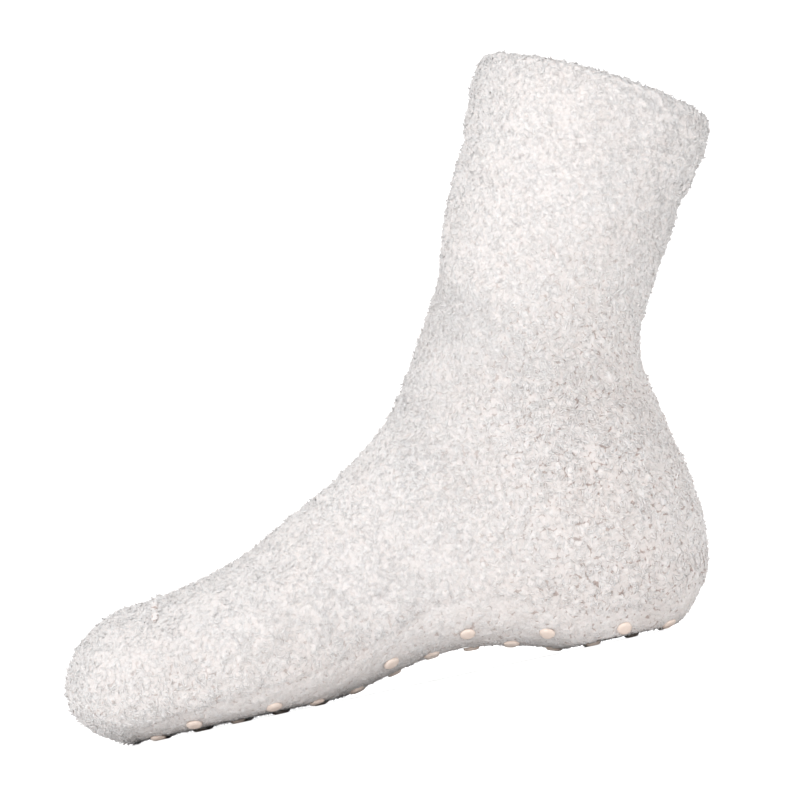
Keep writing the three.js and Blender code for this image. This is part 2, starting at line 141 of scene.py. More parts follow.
def sectionTable():
    # Rows of sizes in millimetres, one for each section: its lowest and highest line, half widths
    # and the outline's shares. The front of the heel rows lies on a curve round the bend.
    f = dict(zip(footColumns, footRows.T))
    h = dict(zip(heelColumns, heelRows.T))
    g = dict(zip(legColumns, legRows.T))
    bendX = foot["heelReach"] - foot["bendDepth"]
    toeX = foot["heelReach"] - foot["length"]
    footX = mix(bendX, toeX, f["forward"])
    footPart = [footX, foot["archHeight"] * f["under"], footX, foot["instepHeight"] * f["over"],
                foot["ballWidth"] / 2 * f["inner"], foot["ballWidth"] / 2 * f["outer"]]
    footPart += [f[name] for name in outlineColumns]

    depth = mix(leg["ankleDepth"], leg["collarDepth"], g["growth"]) / 2
    halfWidth = mix(leg["ankleWidth"], leg["collarWidth"], g["growth"]) / 2
    tiltX, tiltZ = math.cos(leg["collarTilt"]), math.sin(leg["collarTilt"])
    middleX = (foot["heelReach"] - leg["ankleHollow"] - leg["ankleDepth"] / 2 * tiltX
               + leg["length"] * math.sin(leg["lean"]) * g["lean"])
    middleZ = (leg["ankleHeight"] + leg["ankleDepth"] / 2 * tiltZ
               + leg["length"] * math.cos(leg["lean"]) * g["rise"])
    even = np.ones(len(legRows))
    legPart = [middleX + depth * tiltX, middleZ - depth * tiltZ, middleX - depth * tiltX,
               middleZ + depth * tiltZ, halfWidth, halfWidth,
               0.5 * even, 2 * even, 2 * even, 0 * even, 0.32 * even, 0.32 * even]

    fromInstep, fromAnkle = (1 - h["front"]) ** 2, h["front"] ** 2
    fromBend = 2 * h["front"] * (1 - h["front"])
    heelPart = [mix(footX[-1], foot["heelReach"], h["back"]),
                foot["archHeight"] * h["arch"] + leg["ankleHeight"] * h["rise"],
                footX[-1] * fromInstep + bendX * fromBend + legPart[2][0] * fromAnkle,
                footPart[3][-1] * fromInstep + foot["instepHeight"] * fromBend + legPart[3][0] * fromAnkle,
                foot["heelWidth"] / 2 * h["inner"], foot["heelWidth"] / 2 * h["outer"]]
    heelPart += [h[name] for name in outlineColumns]
    return np.concatenate([np.stack(part, 1) for part in (footPart, heelPart, legPart)])


sections = sectionTable()
lineSteps = np.maximum(np.hypot(np.diff(sections[:, 0]), np.diff(sections[:, 1])),
                       np.hypot(np.diff(sections[:, 2]), np.diff(sections[:, 3])))
sectionAt = np.concatenate([[0], np.cumsum(lineSteps)])  # distance of each section from the toe
collarAt = sectionAt[-1]
ankleAt = sectionAt[len(footRows) + len(heelRows)]
cuffFoot = collarAt - knit["cuffHeight"]


def sizesAt(along):
    # Sizes at a distance along the sock: a cubic between two sections whose slopes are those of the
    # chords over each one's neighbours.
    slopes = np.empty_like(sections)
    slopes[1:-1] = (sections[2:] - sections[:-2]) / (sectionAt[2:] - sectionAt[:-2])[:, None]
    slopes[0] = (sections[1] - sections[0]) / (sectionAt[1] - sectionAt[0])
    slopes[-1] = (sections[-1] - sections[-2]) / (sectionAt[-1] - sectionAt[-2])
    i = np.clip(np.searchsorted(sectionAt, along) - 1, 0, len(sections) - 2)
    span = (sectionAt[i + 1] - sectionAt[i])[:, None]
    t = ((along - sectionAt[i]) / span[:, 0])[:, None]
    leave, arrive, gain = slopes[i] * span, slopes[i + 1] * span, sections[i + 1] - sections[i]
    table = sections[i] + leave * t
    table += (3 * gain - 2 * leave - arrive) * t**2 + (leave + arrive - 2 * gain) * t**3
    return {name: table[:, k] for k, name in enumerate(sizeColumns)}


def outlineAt(sizes, turn):
    # A section's outline by its turn from the bottom: side = half width * |sin|^(2/n), climb from the
    # lowest line = lower * (1 - |cos|^(2/n)) below the widest line and lower + upper * |cos|^(2/n)
    # above it. The upper half leans over by the ridge.
    s = {name: value[:, None] for name, value in sizes.items()}
    height = np.hypot(s["overX"] - s["underX"], s["overZ"] - s["underZ"])
    lower = height * s["widest"]
    isUpper = np.abs(turn) > math.pi / 2
    power = 2 / np.where(isUpper, s["dome"], s["square"])
    sideShare = np.abs(np.sin(turn)) ** power
    heightShare = np.abs(np.cos(turn)) ** power
    climb = np.where(isUpper, lower + (height - lower) * heightShare, lower * (1 - heightShare))
    halfWidth = np.where(turn < 0, s["outer"], -s["inner"])
    lean = np.where(isUpper, s["ridge"] * foot["ballWidth"] * heightShare, 0)
    return halfWidth * sideShare - lean, climb, height


turnSteps = 1440
turnTable = np.linspace(-math.pi, math.pi, turnSteps + 1)[None, :]


def flattened(z):
    # The weight of a foot has pressed the sole to a plane with a soft edge: a parabola joins them.
    over = z - knit["soleLevel"]
    soft = knit["soleSoft"]
    joined = knit["soleLevel"] + (over + soft) ** 2 / (4 * soft)
    return np.where(over <= -soft, knit["soleLevel"], np.where(over >= soft, z, joined))


def smoothKnit(along, share):
    # Points of the plain knit at distances along the sock and shares of the girth, from the top down
    # the outer side and up the inner one: x and z mixed from the lowest to the highest line by
    # climb / height, y from the outline, all drawn in to the toe tip by sqrt(1 - (1 - a / r)^2).
    # Returns the points and how far each one lies inside the pressed sole, in millimetres.
    sizes = sizesAt(along)
    side, climb, height = outlineAt(sizes, turnTable)
    steps = np.hypot(np.diff(side, axis=1), np.diff(climb, axis=1))
    reach = np.concatenate([np.zeros((len(along), 1)), np.cumsum(steps, axis=1)], axis=1)
    girth = reach[:, -1:]
    rowOffset = 2 * np.arange(len(along))[:, None]

    def atShare(wanted, values):
        flat = np.interp((wanted + rowOffset).ravel(), (reach / girth + rowOffset).ravel(), values.ravel())
        return flat.reshape(len(along), -1)

    wanted = np.broadcast_to(share[None, :], (len(along), len(share)))
    sideHere, climbHere = atShare(wanted, side), atShare(wanted, climb)
    lift = climbHere / height
    x = mix(sizes["underX"][:, None], sizes["overX"][:, None], lift)
    z = mix(sizes["underZ"][:, None], sizes["overZ"][:, None], lift)
    toeSize = np.sqrt(np.clip(1 - np.clip(1 - along / foot["toeRound"], 0, 1) ** 2, 0, 1))[:, None]
    y = mix(-foot["toeSide"], sideHere, toeSize)
    z = flattened(mix(foot["toeHeight"], z, toeSize))

    fromMiddle = wanted * girth - reach[:, turnSteps // 2][:, None]
    lower = height[:, 0] * sizes["widest"]

    def edge(name, sign):
        # The outline's turn where it has climbed to the edge, looked up as a distance round
        climbed = np.clip(1 - knit["pressHeight"] * sizes[name] / lower, 0, 1) ** (sizes["square"] / 2)
        place = (sign * np.arccos(climbed) / math.pi + 1) / 2 * turnSteps
        i = np.clip(place.astype(int), 0, turnSteps - 1)
        rows = np.arange(len(along))
        found = mix(reach[rows, i], reach[rows, i + 1], place - i)
        return (found - reach[:, turnSteps // 2])[:, None]

    upBehind = np.interp(along, sectionAt, sections[:, 1]) - knit["pressHeelHeight"]
    behind = np.where(along > sectionAt[len(footRows) + 2], -upBehind, 50)[:, None]
    fromToe = (along - knit["pressToeGap"])[:, None]
    inside = np.minimum(np.minimum(fromMiddle - edge("pressOuter", -1), edge("pressInner", 1) - fromMiddle),
                        np.minimum(fromToe, behind))
    return np.stack([x, y, z], axis=-1), inside


def outwardOf(points):
    # Square to the two ways across the grid; the second way closes on itself.
    along = np.gradient(points, axis=0)
    around = np.roll(points, -1, axis=1) - np.roll(points, 1, axis=1)
    return unit(np.cross(along, around))


def scramble(x, y, z, seed):
    # Whole numbers mixed by multiplying and folding into an even spread from 0 to 1
    h = (x * 73856093) ^ (y * 19349663) ^ (z * 83492791) ^ (seed * 2654435761)
    h = (h & 0xFFFFFFFF) * 2246822519
    h = ((h >> 13) ^ h) & 0xFFFFFFFF
    h = (h * 3266489917) & 0xFFFFFFFFFF
    return ((h >> 15) & 0xFFFF) / 65535


def tufts(points, size, seed):
    # Each cell of a lattice holds one tuft's middle. Returns the distance to the nearest one as a
    # share of the cell's size, and the way to it.
    cell = np.floor(points / size).astype(np.int64)
    nearest = np.full(points.shape[:-1], 9.0)
    way = np.zeros_like(points)
    offsets = np.array(np.meshgrid(*[[-1, 0, 1]] * 3, indexing="ij")).reshape(3, -1).T
    for offset in offsets:
        c = cell + offset
        spread = [scramble(c[..., 0], c[..., 1], c[..., 2], seed + k) for k in range(3)]
        middle = c + np.stack(spread, axis=-1)
        away = middle * size - points
        distance = np.linalg.norm(away, axis=-1) / size
        closer = distance < nearest
        nearest = np.where(closer, distance, nearest)
        way = np.where(closer[..., None], away, way)
    return nearest, way


def drift(points, size, seed):
    # A slow wander, mostly between -1 and 1: a third of the sum of five crossed sine waves
    rng = np.random.default_rng(seed)
    ways = unit(rng.normal(size=(5, 3))) * rng.uniform(0.7, 1.4, (5, 1)) * 2 * math.pi / size
    return np.sin(points @ ways.T + rng.uniform(0, 6.3, 5)).sum(axis=-1) / 3


# The coat is one grid over the outside, the rim and the inside of the knit.
coat = {
    "toeRows": 34,
    "rowSpacing": 1.5,
    "columns": 228,
    "rimRows": 7,
    "insideRows": 46,
    "wales": 88,  # columns of stitches that show inside
    "courseHeight": 2.6,
    "tuftSize": 3.1,
    "tuftHeight": 0.85,
    "pressedHeight": 0.6,  # of that, on the pressed sole
    "seed": 11,
}
wrapShare = (coat["columns"] + 1) / coat["columns"]  # the map holds one column more, where it closes

toeAngles = np.linspace(0.012, math.pi / 2, coat["toeRows"])
toePlaces = foot["toeRound"] * (1 - np.cos(toeAngles))
bodyCount = int((collarAt - foot["toeRound"]) / coat["rowSpacing"])
alongRows = np.concatenate([toePlaces, np.linspace(foot["toeRound"], collarAt, bodyCount + 1)[1:]])
columnShares = np.arange(coat["columns"]) / coat["columns"]
plain, insidePress = smoothKnit(alongRows, columnShares)
outward = outwardOf(plain)
pressed = smooth(-knit["pressSlope"] / 2, knit["pressSlope"] / 2, insidePress)
inCuff = smooth(cuffFoot, cuffFoot + knit["cuffSlope"], alongRows)[:, None] * np.ones_like(pressed)
print("knit surface,", plain.shape[0], "x", plain.shape[1], "points")


# Where the pile stands higher in its relief and its colour carries more painted shade: about the heel and
# ankle, and low down
reliefAndShade = {
    "least": 0.12,
    "heelX": 15,
    "heelZ": 70,
    "reachX": 58,
    "reachZ": 66,
    "soleEdge": 0.45,
    "edgeHeights": (14, 40),  # all of it below the first, none above the second
}


def roughness(points):
    # A share from 0 to 1: least + exp(-(dx / reachX)^2 - (dz / reachZ)^2) about the heel, and up to
    # soleEdge more low down. It raises the pile's relief, and in the colour it is the share of painted
    # shade.
    away = ((points[..., 0] - reliefAndShade["heelX"]) / reliefAndShade["reachX"]) ** 2
    away = away + ((points[..., 2] - reliefAndShade["heelZ"]) / reliefAndShade["reachZ"]) ** 2
    low = reliefAndShade["soleEdge"] * (1 - smooth(*reliefAndShade["edgeHeights"], points[..., 2]))
    return np.clip(reliefAndShade["least"] + np.exp(-away) + low, 0, 1)


def folds(points):
    # Soft troughs, each along a line between two points: depth * exp(-(d / width)^2), where
    # d is the distance from the line, fading at its ends.
    rows = [
        # from x, y, z, to x, y, z, width, depth: across the front of the ankle
        [-62, -20, 104, -62, 20, 106, 6, 0.5],
        # behind the ankle
        [26, -26, 96, 26, 26, 98, 5, 0.9],
        [22, -36, 108, 2, -38, 113, 3.4, 1.2],
        [24, -34, 90, 6, -37, 96, 3.2, 1.0],
        [18, -36, 74, -2, -39, 79, 3.4, 0.6],
        [22, 36, 106, 4, 38, 109, 3.6, 1.0],
        # behind the toes
        [-158, -42, 34, -146, 40, 34, 8, 0.6],
        [-120, -47, 30, -100, -42, 38, 7, 0.5],
        # below the cuff
        [2, -38, 168, 34, -38, 150, 5, 0.5],
    ]
    depth = np.zeros(points.shape[:-1])
    for row in rows:
        start, end, (width, deep) = np.array(row[:3], float), np.array(row[3:6], float), row[6:]
        way = end - start
        t = ((points - start) @ way) / (way @ way)
        away = np.linalg.norm(points - start - np.clip(t, 0, 1)[..., None] * way, axis=-1)
        depth += deep * np.exp(-((away / width) ** 2))
    return depth


# Soft unevenness of the filled-out knit, and a collar that rolls out over a leg drawn in below the cuff
wander = drift(plain, 46, 3) * 0.45 + drift(plain, 15, 5) * 0.34
onSole = smooth(4, 12, plain[..., 2])
fromRim = collarAt - alongRows[:, None]
roll = knit["rollOut"] * np.exp(-(((fromRim - 7) / 7) ** 2))
roll -= knit["drawIn"] * np.exp(-(((fromRim - knit["cuffHeight"] - 3) / 6) ** 2))
lift = -knit["pressStep"] * pressed + knit["cuffStep"] * inCuff + (wander - folds(plain)) * onSole + roll
outside = plain + outward * lift[..., None]
depthInside = knit["wall"] + knit["hemStep"] * inCuff
inside = plain - outward * depthInside[..., None]
inside = inside[np.linspace(len(alongRows) - 1, 4, coat["insideRows"]).astype(int)]

collarUp = np.array([math.sin(leg["collarTilt"]), 0, math.cos(leg["collarTilt"])])
rimTurn = (np.arange(1, coat["rimRows"] + 1) / (coat["rimRows"] + 1) * math.pi)[:, None, None]
rimRadius = np.linalg.norm(outside[-1] - inside[0], axis=-1)[None, :, None] / 2
rim = mix(outside[-1][None], inside[0][None], (1 - np.cos(rimTurn)) / 2)
rim = rim + collarUp * rimRadius * np.sin(rimTurn)
bare = np.concatenate([outside, rim, inside])
bareOutward = outwardOf(bare)
rowsOutside, rowsRim = len(outside), len(outside) + coat["rimRows"]

# Where each row lies: 1 on the outside and rim, less inside, where the pile was never brushed up
rowNumber = np.arange(len(bare))
outerWeight = np.where(rowNumber < rowsRim, 1.0, 0.35)[:, None] * np.ones(coat["columns"])
pressedAll = np.concatenate([pressed, np.zeros((len(bare) - rowsOutside, coat["columns"]))])
tuftGap, tuftWay = tufts(bare + drift(bare, 9, 8)[..., None] * 0.5, coat["tuftSize"], coat["seed"])
tuft = 1 - smooth(0.1, 0.72, tuftGap)  # 1 on top of a tuft, 0 in the pit between tufts
tuftHeight = coat["tuftHeight"] * outerWeight * mix(1, coat["pressedHeight"], pressedAll)
tuftHeight *= mix(0.75, 1.15, roughness(bare))
lumpy = bare + bareOutward * (tuftHeight * (tuft - 0.75))[..., None]
lumpy[:rowsOutside, :, 2] = np.maximum(lumpy[:rowsOutside, :, 2], 0.25)
lumpyOutward = unit(outwardOf(lumpy) + bareOutward * 0.8)
print("coat,", lumpy.shape[0], "x", lumpy.shape[1], "points")


def makePiece(name, points, faces, materials, values=None, bake=None, materialOf=None, normals=None):
    # A mesh from a table of points in millimetres and a table of three-point faces, on body root
    mesh = bpy.data.meshes.new(name)
    mesh.vertices.add(len(points))
    mesh.vertices.foreach_set("co", (points * millimetre).astype(np.float32).ravel())
    mesh.loops.add(faces.size)
    mesh.loops.foreach_set("vertex_index", faces.astype(np.int32).ravel())
    mesh.polygons.add(len(faces))
    mesh.polygons.foreach_set("loop_start", np.arange(0, faces.size, 3, dtype=np.int32))
    mesh.polygons.foreach_set("use_smooth", np.ones(len(faces), bool))
    for material in materials:
        mesh.materials.append(material)
    if materialOf is not None:
        mesh.polygons.foreach_set("material_index", materialOf.astype(np.int32))
    for key, value in (values or {}).items():
        attribute = mesh.attributes.new(key, "FLOAT", "POINT")
        attribute.data.foreach_set("value", value.astype(np.float32).ravel())
    if bake is not None:
        mesh.uv_layers.new(name="OFBake").data.foreach_set("uv", bake.astype(np.float32).ravel())
    mesh.update(calc_edges=True)
    mesh.validate()
    if normals is not None:
        mesh.normals_split_custom_set_from_vertices(normals.tolist())
    piece = bpy.data.objects.new(name, mesh)
    bpy.context.scene.collection.objects.link(piece)
    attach(piece, "root")
    print(f"{name}: {len(faces)} triangles")
    return piece


def gridFaces(rows, columns):
    # Two triangles for each cell of a grid that closes round its columns
    i, j = np.meshgrid(np.arange(rows - 1), np.arange(columns), indexing="ij")
    a, b = i * columns + j, i * columns + (j + 1) % columns
    c, d = a + columns, b + columns
    return np.stack([np.stack([a, c, d], -1), np.stack([a, d, b], -1)], axis=2).reshape(-1, 3)


def capFaces(pole, ring, isFirst):
    # A fan from a pole to a ring of points, facing away from the grid
    following = np.roll(ring, -1)
    first, second = (ring, following) if isFirst else (following, ring)
    return np.stack([np.full(len(ring), pole), first, second], axis=1)


class Wire:
    # A socket that can be added, taken away and multiplied with numbers and other sockets
    def __init__(self, tree, socket):
        self.tree, self.socket = tree, socket

    def maths(self, operation, *values, clamp=False):
        return makeNode(self.tree, "ShaderNodeMath", {"operation": operation, "use_clamp": clamp},
                        dict(enumerate(values)))

    def __add__(self, other):
        return self.maths("ADD", self, other)

    def __sub__(self, other):
        return self.maths("SUBTRACT", self, other)

    def __rsub__(self, other):
        return self.maths("SUBTRACT", other, self)

    def __mul__(self, other):
        return self.maths("MULTIPLY", self, other)

    __radd__ = __add__
    __rmul__ = __mul__

    def step(self, low, high):
        # 0 below low and 1 above high, soft between
        settings = {"interpolation_type": "SMOOTHSTEP"}
        sockets = {"Value": self, "From Min": low, "From Max": high}
        return makeNode(self.tree, "ShaderNodeMapRange", settings, sockets)


def makeNode(tree, kind, settings=None, sockets=None, output=0):
    # A node of any kind: first its settings, then the values or wires of its sockets
    node = tree.nodes.new(kind)
    for key, value in (settings or {}).items():
        setattr(node, key, value)
    for key, value in (sockets or {}).items():
        if isinstance(value, Wire):
            tree.links.new(value.socket, node.inputs[key])
        else:
            node.inputs[key].default_value = value
    return Wire(tree, node.outputs[output])


def startMaterial(name, fixed):
    # A material with its shader, whose even values are set on the shader's own sockets
    material = bpy.data.materials.new(name)
    material.use_nodes = True
    tree = material.node_tree
    shader = tree.nodes["Principled BSDF"]
    for key, value in fixed.items():
        shader.inputs[key].default_value = value
    return material, tree, shader


def wireUp(tree, shader, colour, roughness, bumps):
    # bumps: pairs of a height wire and its depth in metres, each laid on the one before
    tree.links.new(colour.socket, shader.inputs["Base Color"])
    if isinstance(roughness, Wire):
        tree.links.new(roughness.socket, shader.inputs["Roughness"])
    normal = None
    for height, deep in bumps:
        sockets = {"Height": height, "Distance": deep, "Strength": 1.0}
        if normal is not None:
            sockets["Normal"] = normal
        normal = makeNode(tree, "ShaderNodeBump", {}, sockets)
    if normal is not None:
        tree.links.new(normal.socket, shader.inputs["Normal"])


def objectPlace(tree):
    return makeNode(tree, "ShaderNodeTexCoord", {}, {}, "Object")


def noise(tree, place, scale, detail=2.0, roughness=0.5, output="Fac"):
    sockets = {"Vector": place, "Scale": scale, "Detail": detail, "Roughness": roughness}
    return makeNode(tree, "ShaderNodeTexNoise", {}, sockets, output)


def blendColours(tree, share, first, second, kind="MIX"):
    # The colour sockets of a Mix node: 0 is its factor, 6 and 7 are the two colours, 2 is the result
    settings = {"data_type": "RGBA", "blend_type": kind}
    return makeNode(tree, "ShaderNodeMix", settings, {0: share, 6: first, 7: second}, 2)


chenilleLook = {
    "tip": (0.8, 0.767, 0.755, 1),
    # root: the tip's colour painted darker and warmer, as shade deep in the pile
    "root": (0.715, 0.672, 0.655, 1),
    # pit: painted shade for the pits where the crumb of the pile parts
    "pit": (0.6, 0.52, 0.49, 1),
    "warm": (0.975, 0.96, 0.95, 1),
    "crumbScale": 680.0,  # crumbs in a metre
    "fibreScale": 2600.0,
    "roughness": 0.95,
    "sheen": 0.06,
    "subsurface": 0.5,
}


def makeChenille(name, bumpDepth):
    # Off-white yarn: the roots of the pile painted darker and warmer as shade, small painted shade pits
    # where the crumb of the pile parts (both deeper about the heel, ankle and low down), a slow drift of
    # tone, fibres as bump.
    fixed = {"Roughness": chenilleLook["roughness"], "Specular IOR Level": 0.15,
             "Sheen Weight": chenilleLook["sheen"], "Sheen Roughness": 0.6,
             "Subsurface Weight": chenilleLook["subsurface"], "Subsurface Scale": 0.0009,
             "Subsurface Radius": (1.0, 0.9, 0.85)}
    material, tree, shader = startMaterial(name, fixed)
    place = objectPlace(tree)
    pile = makeNode(tree, "ShaderNodeAttribute", {"attribute_name": "pile"}, {}, "Fac")
    fibres = noise(tree, place, chenilleLook["fibreScale"], 3.0, 0.65)
    tone = noise(tree, place, 38.0, 2.0)
    shadeShare = makeNode(tree, "ShaderNodeAttribute", {"attribute_name": "shadeShare"}, {}, "Fac")
    sockets = {"Vector": place, "Scale": chenilleLook["crumbScale"]}
    crumb = makeNode(tree, "ShaderNodeTexVoronoi", {"feature": "F1"}, sockets, "Distance")
    # Painted shade in the pits between crumbs, deeper about the heel and ankle and low down
    paintedPits = crumb.step(0.7, 0.9) * (0.1 + shadeShare * 0.9)
    share = 1 - (1 - (pile + (fibres - 0.5) * 0.3).step(0.0, 0.6)) * (0.25 + shadeShare * 0.75)
    colour = blendColours(tree, share, chenilleLook["root"], chenilleLook["tip"])
    colour = blendColours(tree, paintedPits, colour, chenilleLook["pit"], "MULTIPLY")
    colour = blendColours(tree, tone.step(0.35, 0.75) * 0.6, colour, chenilleLook["warm"], "MULTIPLY")
    wireUp(tree, shader, colour, None, [(1 - crumb, bumpDepth), (fibres, bumpDepth * 0.6)])
    return material


def makeInsideKnit():
    # The back of the knit: rows of low loops under a short nap
    fixed = {"Roughness": 0.95, "Specular IOR Level": 0.15, "Sheen Weight": 0.2, "Sheen Roughness": 0.6}
    material, tree, shader = startMaterial("insideKnit", fixed)
    place = objectPlace(tree)
    bakeMap = makeNode(tree, "ShaderNodeUVMap", {"uv_map": "OFBake"})
    wale = makeNode(tree, "ShaderNodeSeparateXYZ", {}, {0: bakeMap}) * (coat["wales"] * wrapShare)
    course = makeNode(tree, "ShaderNodeAttribute", {"attribute_name": "course"}, {}, "Fac")
    across = wale.maths("PINGPONG", wale, 0.5) * 2
    shifted = course + across * 0.6
    loop = shifted.maths("PINGPONG", shifted, 0.5) * 2
    nap = noise(tree, place, 1400.0, 4.0, 0.65)
    # Darker where loop and across are low, down between the loops and wales: painted shade; the nap drifts
    # it at random
    share = (loop * 0.4 + across * 0.25 + nap * 0.45).step(0.1, 0.85)
    colour = blendColours(tree, share, (0.6, 0.55, 0.525, 1), (0.86, 0.825, 0.8, 1))
    wireUp(tree, shader, colour, None, [(loop * 0.6 + across * 0.4, 0.0005), (nap, 0.00035)])
    return material


def makeGripRubber():
    # Pale peach rubber, printed on warm: smooth with a faint orange peel, a few dull scuffs
    fixed = {"Specular IOR Level": 0.5, "Coat Weight": 0.25, "Coat Roughness": 0.3}
    material, tree, shader = startMaterial("gripRubber", fixed)
    place = objectPlace(tree)
    speck = noise(tree, place, 420.0, 3.0)
    scuff = noise(tree, place, 1500.0, 2.0).step(0.55, 0.75)
    colour = blendColours(tree, speck.step(0.3, 0.7), (0.82, 0.685, 0.6, 1), (0.87, 0.745, 0.665, 1))
    roughness = 0.36 + scuff * 0.22
    wireUp(tree, shader, colour, roughness, [(speck, 0.0001), (noise(tree, place, 2200.0, 2.0), 0.00003)])
    return material


chenille = makeChenille("chenille", 0.00035)
pileYarn = makeChenille("pileYarn", 0.00014)
insideKnit = makeInsideKnit()
gripRubber = makeGripRubber()
print("materials made")

# The knit itself, under its pile
shellFaces = gridFaces(*lumpy.shape[:2])
tipPoint = np.array([foot["heelReach"] - foot["length"], -foot["toeSide"], foot["toeHeight"]], float)
lastRing = lumpy[-1]
poleInside = lastRing.mean(axis=0)
shellPoints = np.concatenate([lumpy.reshape(-1, 3), tipPoint[None], poleInside[None]])
count = lumpy.shape[0] * lumpy.shape[1]
ringIndex = np.arange(coat["columns"])
shellFaces = np.concatenate([
    shellFaces,
    capFaces(count, ringIndex, True),
    capFaces(count + 1, count - coat["columns"] + ringIndex, False),
])
rowOfFace = np.minimum(shellFaces[:, 0], count - 1) // coat["columns"]
# Pile value on the knit: lower in the pits between tufts, where the colour takes painted shade
rowsPileShade = np.concatenate([(0.16 + tuft * 0.5).ravel(), [0.4, 0.2]])
insidePlaces = np.linspace(collarAt, 0, coat["insideRows"])
courseRows = np.concatenate([alongRows, np.zeros(coat["rimRows"]), insidePlaces])
courses = np.repeat(courseRows / coat["courseHeight"], coat["columns"])
rowShares = np.repeat(rowNumber / rowNumber[-1], coat["columns"])
shellUv = np.stack([np.tile(columnShares, lumpy.shape[0]), rowShares], -1)
shellUv = np.concatenate([shellUv, [[0.5, 0], [0.5, 1]]])
cornerUv = shellUv[shellFaces]
wraps = (cornerUv[..., 0].max(axis=1) - cornerUv[..., 0].min(axis=1)) > 0.5
cornerUv[..., 0] += ((cornerUv[..., 0] < 0.5) & wraps[:, None]).astype(float)
cornerUv[..., 0] /= wrapShare
shell = makePiece(
    "knitBody", shellPoints, shellFaces, [chenille, insideKnit],
    {"pile": rowsPileShade, "shadeShare": roughness(shellPoints), "course": np.append(courses, [0, 0])},
    cornerUv.reshape(-1, 2), rowOfFace >= rowsRim + 2,
)
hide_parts("sock_body")

# Grip dots: a dome on each solid's own place
dotShape = {
    "sides": 24,
    "radius": 2.9,
    "unevenness": 0.05,
    "clearance": 0.35,  # from its rim to the pile
    "seed": 5,
}
dotNodes = sorted(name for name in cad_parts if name.startswith("grip_dot"))


def nodePoints(name):
    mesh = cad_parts[name].data
    table = np.empty(len(mesh.vertices) * 3, np.float32)
    mesh.vertices.foreach_get("co", table)
    return table.reshape(-1, 3).astype(float) / millimetre


def dotFrame(points):
    # Middle of the flat tip and outward way of a dot: the way across which it is thinnest
    points = np.unique(points.round(3), axis=0)
    middle = (points.min(axis=0) + points.max(axis=0)) / 2
    ways = np.linalg.svd(points - points.mean(axis=0))[2]
    out = ways[2] * (-1 if ways[2][2] > 0 else 1)
    top = ((points - middle) @ out).max()
    return middle + out * top, out


dotFrames = [dotFrame(nodePoints(name)) for name in dotNodes]
dotTips = np.array([tip for tip, way in dotFrames])
dotWays = np.array([way for tip, way in dotFrames])


def dotDomes(tips, ways):
    # Rings of points about each tip, on a given profile of radii (shares of the dot's) and drops
    # from the tip (mm): flat in the middle, then round over the rim. The last ring turns under.
    rng = np.random.default_rng(dotShape["seed"])
    radii = np.array([0.22, 0.42, 0.56, 0.7, 0.82, 0.92, 0.98, 1.0, 1.0, 0.9])
    drops = np.array([0.0, 0.01, 0.04, 0.11, 0.24, 0.44, 0.68, 0.9, 1.2, 1.45])
    side = unit(np.cross(ways, np.array([0.0, 1, 0])))
    front = np.cross(ways, side)
    turn = np.arange(dotShape["sides"]) / dotShape["sides"] * 2 * math.pi
    waves = rng.normal(size=(len(tips), 3)) * dotShape["unevenness"]
    phases = rng.uniform(0, 6.3, (len(tips), 3))
    ripples = [waves[:, k, None] * np.sin((k + 1) * turn + phases[:, k, None]) for k in range(3)]
    wobble = 1 + sum(ripples) * 0.5
    size = dotShape["radius"] * rng.uniform(0.96, 1.05, len(tips))[:, None] * wobble
    across = np.cos(turn)[:, None] * side[:, None] + np.sin(turn)[:, None] * front[:, None]
    across = across * size[..., None]
    rings = (tips[:, None, None] + across[:, None] * radii[:, None, None]
             - ways[:, None, None] * drops[:, None, None])
    rings = rings.reshape(len(tips), -1, 3)
    bottom = tips - ways * 1.5
    points = np.concatenate([tips[:, None], rings, bottom[:, None]], axis=1)
    points[..., 2] = np.maximum(points[..., 2], 0)
    ring = np.arange(dotShape["sides"])
    body = gridFaces(len(radii), dotShape["sides"]) + 1
    last = 1 + (len(radii) - 1) * dotShape["sides"] + ring
    top, under = capFaces(0, ring + 1, True), capFaces(points.shape[1] - 1, last, False)
    pattern = np.concatenate([top, body, under])
    offsets = np.arange(len(tips))[:, None, None] * points.shape[1]
    return points.reshape(-1, 3), (pattern[None] + offsets).reshape(-1, 3)


dotPoints, dotFaces = dotDomes(dotTips, dotWays)
gripDots = makePiece("gripDots", dotPoints, dotFaces, [gripRubber])
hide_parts(*dotNodes)

# The linked seam over the toes
seamShape = {
    "fromToe": 40,
    "width": 2.6,
    "rise": 0.5,
    "reach": 0.3,  # of the girth
    "stitch": 2.6,
    "steps": 150,
    "sides": 10,
    "cover": 1.3,  # lift of the pile over the seam, of the rise
}
seamRow = float(np.interp(seamShape["fromToe"], alongRows, np.arange(len(alongRows))))


def overSeam(row, column):
    # How far the seam under it lifts the pile: cover * rise * (1 - (d / width)^2), d from its line
    away = np.abs(row - seamRow) * coat["rowSpacing"] / seamShape["width"]
    fromTop = np.minimum(column, 1 - column) / (seamShape["reach"] / 2)
    cover = seamShape["cover"] * seamShape["rise"]
    return cover * np.clip(1 - away**2, 0, 1) * smooth(1.02, 0.96, fromTop)


# The pile: short curled yarn ends lying over the tufts
pileSet = {
    "areaEach": 1.5,  # square millimetres of knit for each strand
    "length": (2.0, 3.5),
    "thickness": (0.24, 0.38),  # half of it
    "rise": (0.3, 0.85),
    "stand": (0.9, 2.1),  # of those with a free end
    "curl": (1.0, 3.4),  # radians that a strand turns over its length
    "freeShare": 0.17,  # strands with one end standing out
    "curledShare": 0.62,  # strands that lie round a tuft
    "bedded": 0.28,  # depth of the ends in the knit
    "unevenness": 0.06,
    "pressedSize": 0.8,
    "pressedRise": 0.45,
    "pitThinning": 0.5,
    "softness": (0.88, 0.14),  # on the lit front and about the heel
    "rings": 2,
    "seed": 23,
}


